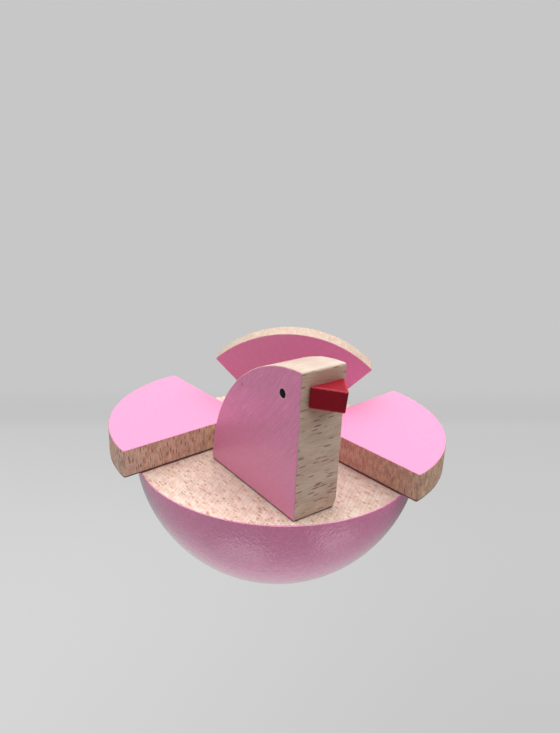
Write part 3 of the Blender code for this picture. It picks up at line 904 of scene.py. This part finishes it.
# Table
# A wide sheet of opal acrylic, lit from below so that the toy throws hardly any shadow on it. It is laid out
# three times: as the camera sees it, as it lights the toy, and as the toy mirrors it, with two lamps in it.
TABLE_REACH = 60
FAR_GLOW = 0.561
LAMP_GLOW = 0.98
LAMP_HEIGHT = 0.05 * MM
STUDIO_WHITE = (0.995, 1.0, 0.995, 1.0)
SHEET_GREY = (0.015, 0.015, 0.015, 1.0)
LAMPS = {
    "left_lamp": ((-27, -58), (-13, -63), (0.5, -60), (0, -45), (-11, -47.5), (-22, -47)),
    "right_lamp": ((37, -59), (50, -57.5), (60, -50), (60, -40), (50, -38), (29, -42)),
}


def opal_sheet(name, glow):
    """A plain sheet that glows by a strength worked out from the place on it: across, back, and the
    distance from the middle."""
    material, tree, shader = blank_material(name)
    where = spot(tree)
    across, back, _ = add(tree, "SeparateXYZ", {0: where}).outputs
    distance = add(tree, "VectorMath", {0: where}, operation="LENGTH").outputs["Value"]
    tree.links.new(glow(tree, across, back, distance), shader.inputs["Emission Strength"])
    shader.inputs["Emission Color"].default_value = STUDIO_WHITE
    shader.inputs["Base Color"].default_value = SHEET_GREY
    shader.inputs["Specular IOR Level"].default_value = 0.0
    return material


def seen_glow(tree, across, back, distance):
    """Brighter towards the front left, with a slightly darker band behind the toy. Both fade out far away."""
    glow = ramp(tree, back, -0.02, 0.12, 0.613, FAR_GLOW)
    lean = ramp(tree, across, -0.08, 0.08, -0.054, 0.054)
    lean = reckon(tree, "MULTIPLY", lean, ramp(tree, back, -0.1, 0.1, 1.0, 0.0))
    square = reckon(tree, "MULTIPLY_ADD", across, -0.2, back)
    band = ramp(tree, square, 0.098, 0.115, 0.0, 0.028)
    band = reckon(tree, "MULTIPLY", band, ramp(tree, square, 0.122, 0.16, 1.0, 0.0))
    near = ramp(tree, distance, 0.18, 0.5, 1.0, 0.0)
    glow = reckon(tree, "SUBTRACT", glow, reckon(tree, "MULTIPLY", near, reckon(tree, "ADD", lean, band)))
    return reckon(tree, "MULTIPLY_ADD", near, reckon(tree, "SUBTRACT", glow, FAR_GLOW), FAR_GLOW)


def lighting_glow(tree, across, back, distance):
    """Stronger under and round the ball, and weaker in front of it."""
    glow = ramp(tree, distance, 0.028, 0.095, 1.47, 0.92)
    glow = reckon(tree, "ADD", glow, ramp(tree, distance, 0.10, 0.22, 0.0, -0.30))
    front = ramp(tree, back, -0.09, -0.03, 0.46, 0.0)
    front = reckon(tree, "MULTIPLY", front, ramp(tree, distance, 0.12, 0.22, 1.0, 0.0))
    return reckon(tree, "SUBTRACT", glow, front)


def mirrored_glow(tree, across, back, distance):
    """Bright round the ball's foot, dimmer outwards and to the right."""
    glow = ramp(tree, distance, 0.030, 0.070, 0.55, 0.24)
    return reckon(tree, "SUBTRACT", glow, ramp(tree, across, -0.07, 0.07, -0.1, 0.1))


def lamp_glow(tree, across, back, distance):
    """The same all over."""
    return reckon(tree, "ADD", LAMP_GLOW, 0.0)


def stage_card(name, corners, height, sheet, camera, diffuse, glossy):
    """A flat card of the given corners in metres, shown to the named kinds of ray alone."""
    card = bpy.data.meshes.new(name)
    card.from_pydata([(x, y, height) for x, y in corners], [], [tuple(range(len(corners)))])
    card.materials.append(sheet)
    table = bpy.data.objects.new(name, card)
    bpy.context.scene.collection.objects.link(table)
    table.visible_camera, table.visible_diffuse, table.visible_glossy = camera, diffuse, glossy


whole = [(TABLE_REACH * x, TABLE_REACH * y) for x, y in ((-1, -1), (1, -1), (1, 1), (-1, 1))]
stage_card("table", whole, 0.0, opal_sheet("opal_sheet", seen_glow), True, False, False)
stage_card("table_light", whole, 0.0, opal_sheet("opal_light", lighting_glow), False, True, False)
stage_card("table_mirrored", whole, 0.0, opal_sheet("opal_mirrored", mirrored_glow), False, False, True)
gleam = opal_sheet("lamp_gleam", lamp_glow)
for name, corners in LAMPS.items():
    stage_card(name, [(x * MM, y * MM) for x, y in corners], LAMP_HEIGHT, gleam, False, False, True)


# Light
# A pale tent all round, dim at the front, with a large soft box overhead and a little behind the toy. The
# backdrop itself is plain and the same all round.
BACKDROP = 0.57
TENT_BACK = 0.57
TENT_SIDE = 0.40
TENT_FRONT = 0.13
DIM_ROOM = 0.12
BOX_STRENGTH = 2.95
BOX_DIRECTION = (0.04, 0.22, 0.975)
BOX_EDGE = (0.50, 0.866)
FLOOR_FADE = (-0.36, -0.14)

world = bpy.data.worlds.new("studio")
bpy.context.scene.world = world
world.use_nodes = True
sky = world.node_tree
way = add(sky, "TexCoord").outputs["Generated"]
parts = add(sky, "SeparateXYZ", {0: way})
tent = ramp(sky, parts.outputs[1], 0.0, 0.8, TENT_SIDE, TENT_BACK)
tent = reckon(sky, "ADD", tent, ramp(sky, parts.outputs[1], -0.9, -0.2, TENT_FRONT - TENT_SIDE, 0.0))
toward = add(sky, "VectorMath", {0: way, 1: BOX_DIRECTION}, operation="DOT_PRODUCT").outputs["Value"]
box_share = ramp(sky, toward, *BOX_EDGE)
bright = add(sky, "Mix", {0: box_share, 2: tent, 3: BOX_STRENGTH}, data_type="FLOAT").outputs[0]
above = ramp(sky, parts.outputs[2], *FLOOR_FADE)
bright = add(sky, "Mix", {0: above, 2: DIM_ROOM, 3: bright}, data_type="FLOAT").outputs[0]
seen = add(sky, "LightPath").outputs["Is Camera Ray"]
bright = add(sky, "Mix", {0: seen, 2: bright, 3: BACKDROP}, data_type="FLOAT").outputs[0]
sky.links.new(bright, sky.nodes["Background"].inputs["Strength"])
sky.nodes["Background"].inputs["Color"].default_value = STUDIO_WHITE
bpy.context.scene.view_settings.view_transform = "Standard"


# Camera
# It looks down at the toy from the front, as the photograph does.
CAMERA_PLACE = (17.363 * MM, -181.991 * MM, 135.816 * MM)
CAMERA_TURN = (69.889, -2.225, 6.327)

camera = bpy.data.objects.new("camera", bpy.data.cameras.new("camera"))
bpy.context.scene.collection.objects.link(camera)
camera.data.lens = 30.89
camera.data.sensor_width = 36
camera.data.clip_start = 0.01
camera.data.clip_end = 100
camera.location = CAMERA_PLACE
camera.rotation_euler = [math.radians(a) for a in CAMERA_TURN]
bpy.context.scene.camera = camera

bpy.context.view_layer.update()
